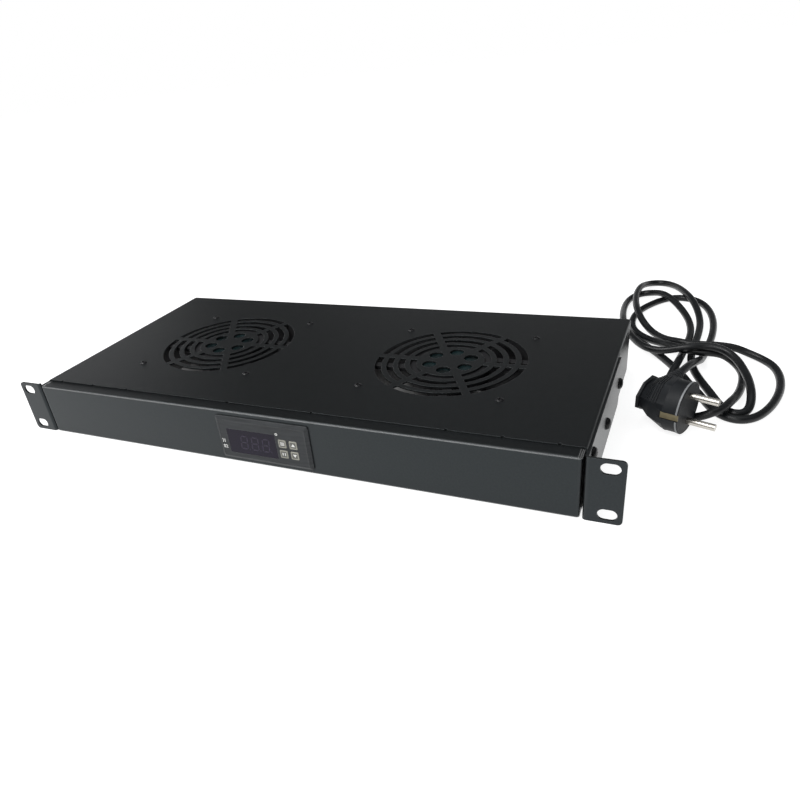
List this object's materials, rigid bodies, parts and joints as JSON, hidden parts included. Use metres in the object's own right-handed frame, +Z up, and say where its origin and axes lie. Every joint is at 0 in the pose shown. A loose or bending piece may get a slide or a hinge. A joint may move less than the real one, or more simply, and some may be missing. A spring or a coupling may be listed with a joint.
{
  "type": "rack fan tray",
  "caption": "One-unit 19-inch rack fan tray: folded black steel chassis with axial fans under punched ring grilles, panel thermostat, screwed rack ears, mains cord and angled plug.",
  "frame": {"origin": "centre of the four rack slots, on the front face of the rack ears", "axes": "+X to the right seen from the front, +Y back into the rack, +Z up; the air leaves through the grilles towards +Z"},
  "size_m": [0.5726, 0.4252, 0.045],
  "materials": {
    "powder_coat_black": "black semi-matt powder coat on sheet steel",
    "black_steel": "black oxide screws",
    "zinc_steel": "zinc-plated nuts",
    "fan_casting": "black painted die casting",
    "fan_plastic": "black glass-filled plastic",
    "hub_label": "plain film label",
    "bearing_steel": "ground steel",
    "lamination": "stacked steel sheets",
    "copper_winding": "enamelled copper wire",
    "wire_guard": "bright chromed wire",
    "bezel_grey": "dark grey moulded face with a bright rim",
    "dark_window": "dark tinted display window",
    "black_plastic": "black moulded plastic",
    "circuit_board": "green solder resist",
    "transformer_core": "varnished core",
    "button_face": "dark key with a pale border",
    "terminal_green": "green moulded plastic",
    "terminal_metal": "plated clamp screws",
    "cord_pvc": "black flexible PVC sheath",
    "plug_moulding": "black soft moulded plug",
    "nickel_plate": "nickel-plated brass"
  },
  "bodies": {
    "tray": {"bezel": "bezel_grey", "button_switches": "black_plastic", "chassis": "powder_coat_black", "controller_housing": "black_plastic", "display_block": "black_plastic", "display_board": "circuit_board", "display_window": "dark_window", "earth_contacts": "nickel_plate", "fan_bolts": "black_steel", "fan_nuts": "zinc_steel", "front_panel": "powder_coat_black", "gland_nut": "black_plastic", "left_bearings": "bearing_steel", "left_bracket_screws": "black_steel", "left_clinch_nuts": "zinc_steel", "left_fan_frame": "fan_casting", "left_fan_lead": "cord_pvc", "left_finger_guard": "wire_guard", "left_hub_label": "hub_label", "left_motor_coils": "copper_winding", "left_motor_core": "lamination", "left_mounting_clip": "black_plastic", "left_rack_bracket": "powder_coat_black", "main_board": "circuit_board", "mains_lead": "cord_pvc", "plug_body": "plug_moulding", "plug_pins": "nickel_plate", "power_cord": "cord_pvc", "relay": "black_plastic", "right_bearings": "bearing_steel", "right_bracket_screws": "black_steel", "right_clinch_nuts": "zinc_steel", "right_fan_frame": "fan_casting", "right_fan_lead": "cord_pvc", "right_finger_guard": "wire_guard", "right_hub_label": "hub_label", "right_motor_coils": "copper_winding", "right_motor_core": "lamination", "right_mounting_clip": "black_plastic", "right_rack_bracket": "powder_coat_black", "strain_relief": "black_plastic", "terminal_block": "terminal_green", "terminal_screws": "terminal_metal", "transformer": "transformer_core"},
    "left_rotor": {"left_impeller": "fan_plastic", "left_rotor_cage": "lamination", "left_fan_shaft": "bearing_steel", "left_shaft_clip": "bearing_steel"},
    "right_rotor": {"right_impeller": "fan_plastic", "right_rotor_cage": "lamination", "right_fan_shaft": "bearing_steel", "right_shaft_clip": "bearing_steel"},
    "set_button_key": {"set_button": "button_face"},
    "up_button_key": {"up_button": "button_face"},
    "light_button_key": {"light_button": "button_face"},
    "down_button_key": {"down_button": "button_face"}
  },
  "joints": [
    {"name": "left_fan_spin", "type": "hinge", "parent": "tray", "child": "left_rotor", "pos_m": [-0.1018, 0.1085, 0], "axis": [0, 0, 1], "continuous": true},
    {"name": "right_fan_spin", "type": "hinge", "parent": "tray", "child": "right_rotor", "pos_m": [0.1018, 0.1085, 0], "axis": [0, 0, 1], "continuous": true},
    {"name": "set_button_press", "type": "slide", "parent": "tray", "child": "set_button_key", "axis": [0, 1, 0], "range_m": [0, 0.0004], "stiffness_N_per_m": 2500},
    {"name": "up_button_press", "type": "slide", "parent": "tray", "child": "up_button_key", "axis": [0, 1, 0], "range_m": [0, 0.0004], "stiffness_N_per_m": 2500},
    {"name": "light_button_press", "type": "slide", "parent": "tray", "child": "light_button_key", "axis": [0, 1, 0], "range_m": [0, 0.0004], "stiffness_N_per_m": 2500},
    {"name": "down_button_press", "type": "slide", "parent": "tray", "child": "down_button_key", "axis": [0, 1, 0], "range_m": [0, 0.0004], "stiffness_N_per_m": 2500}
  ]
}
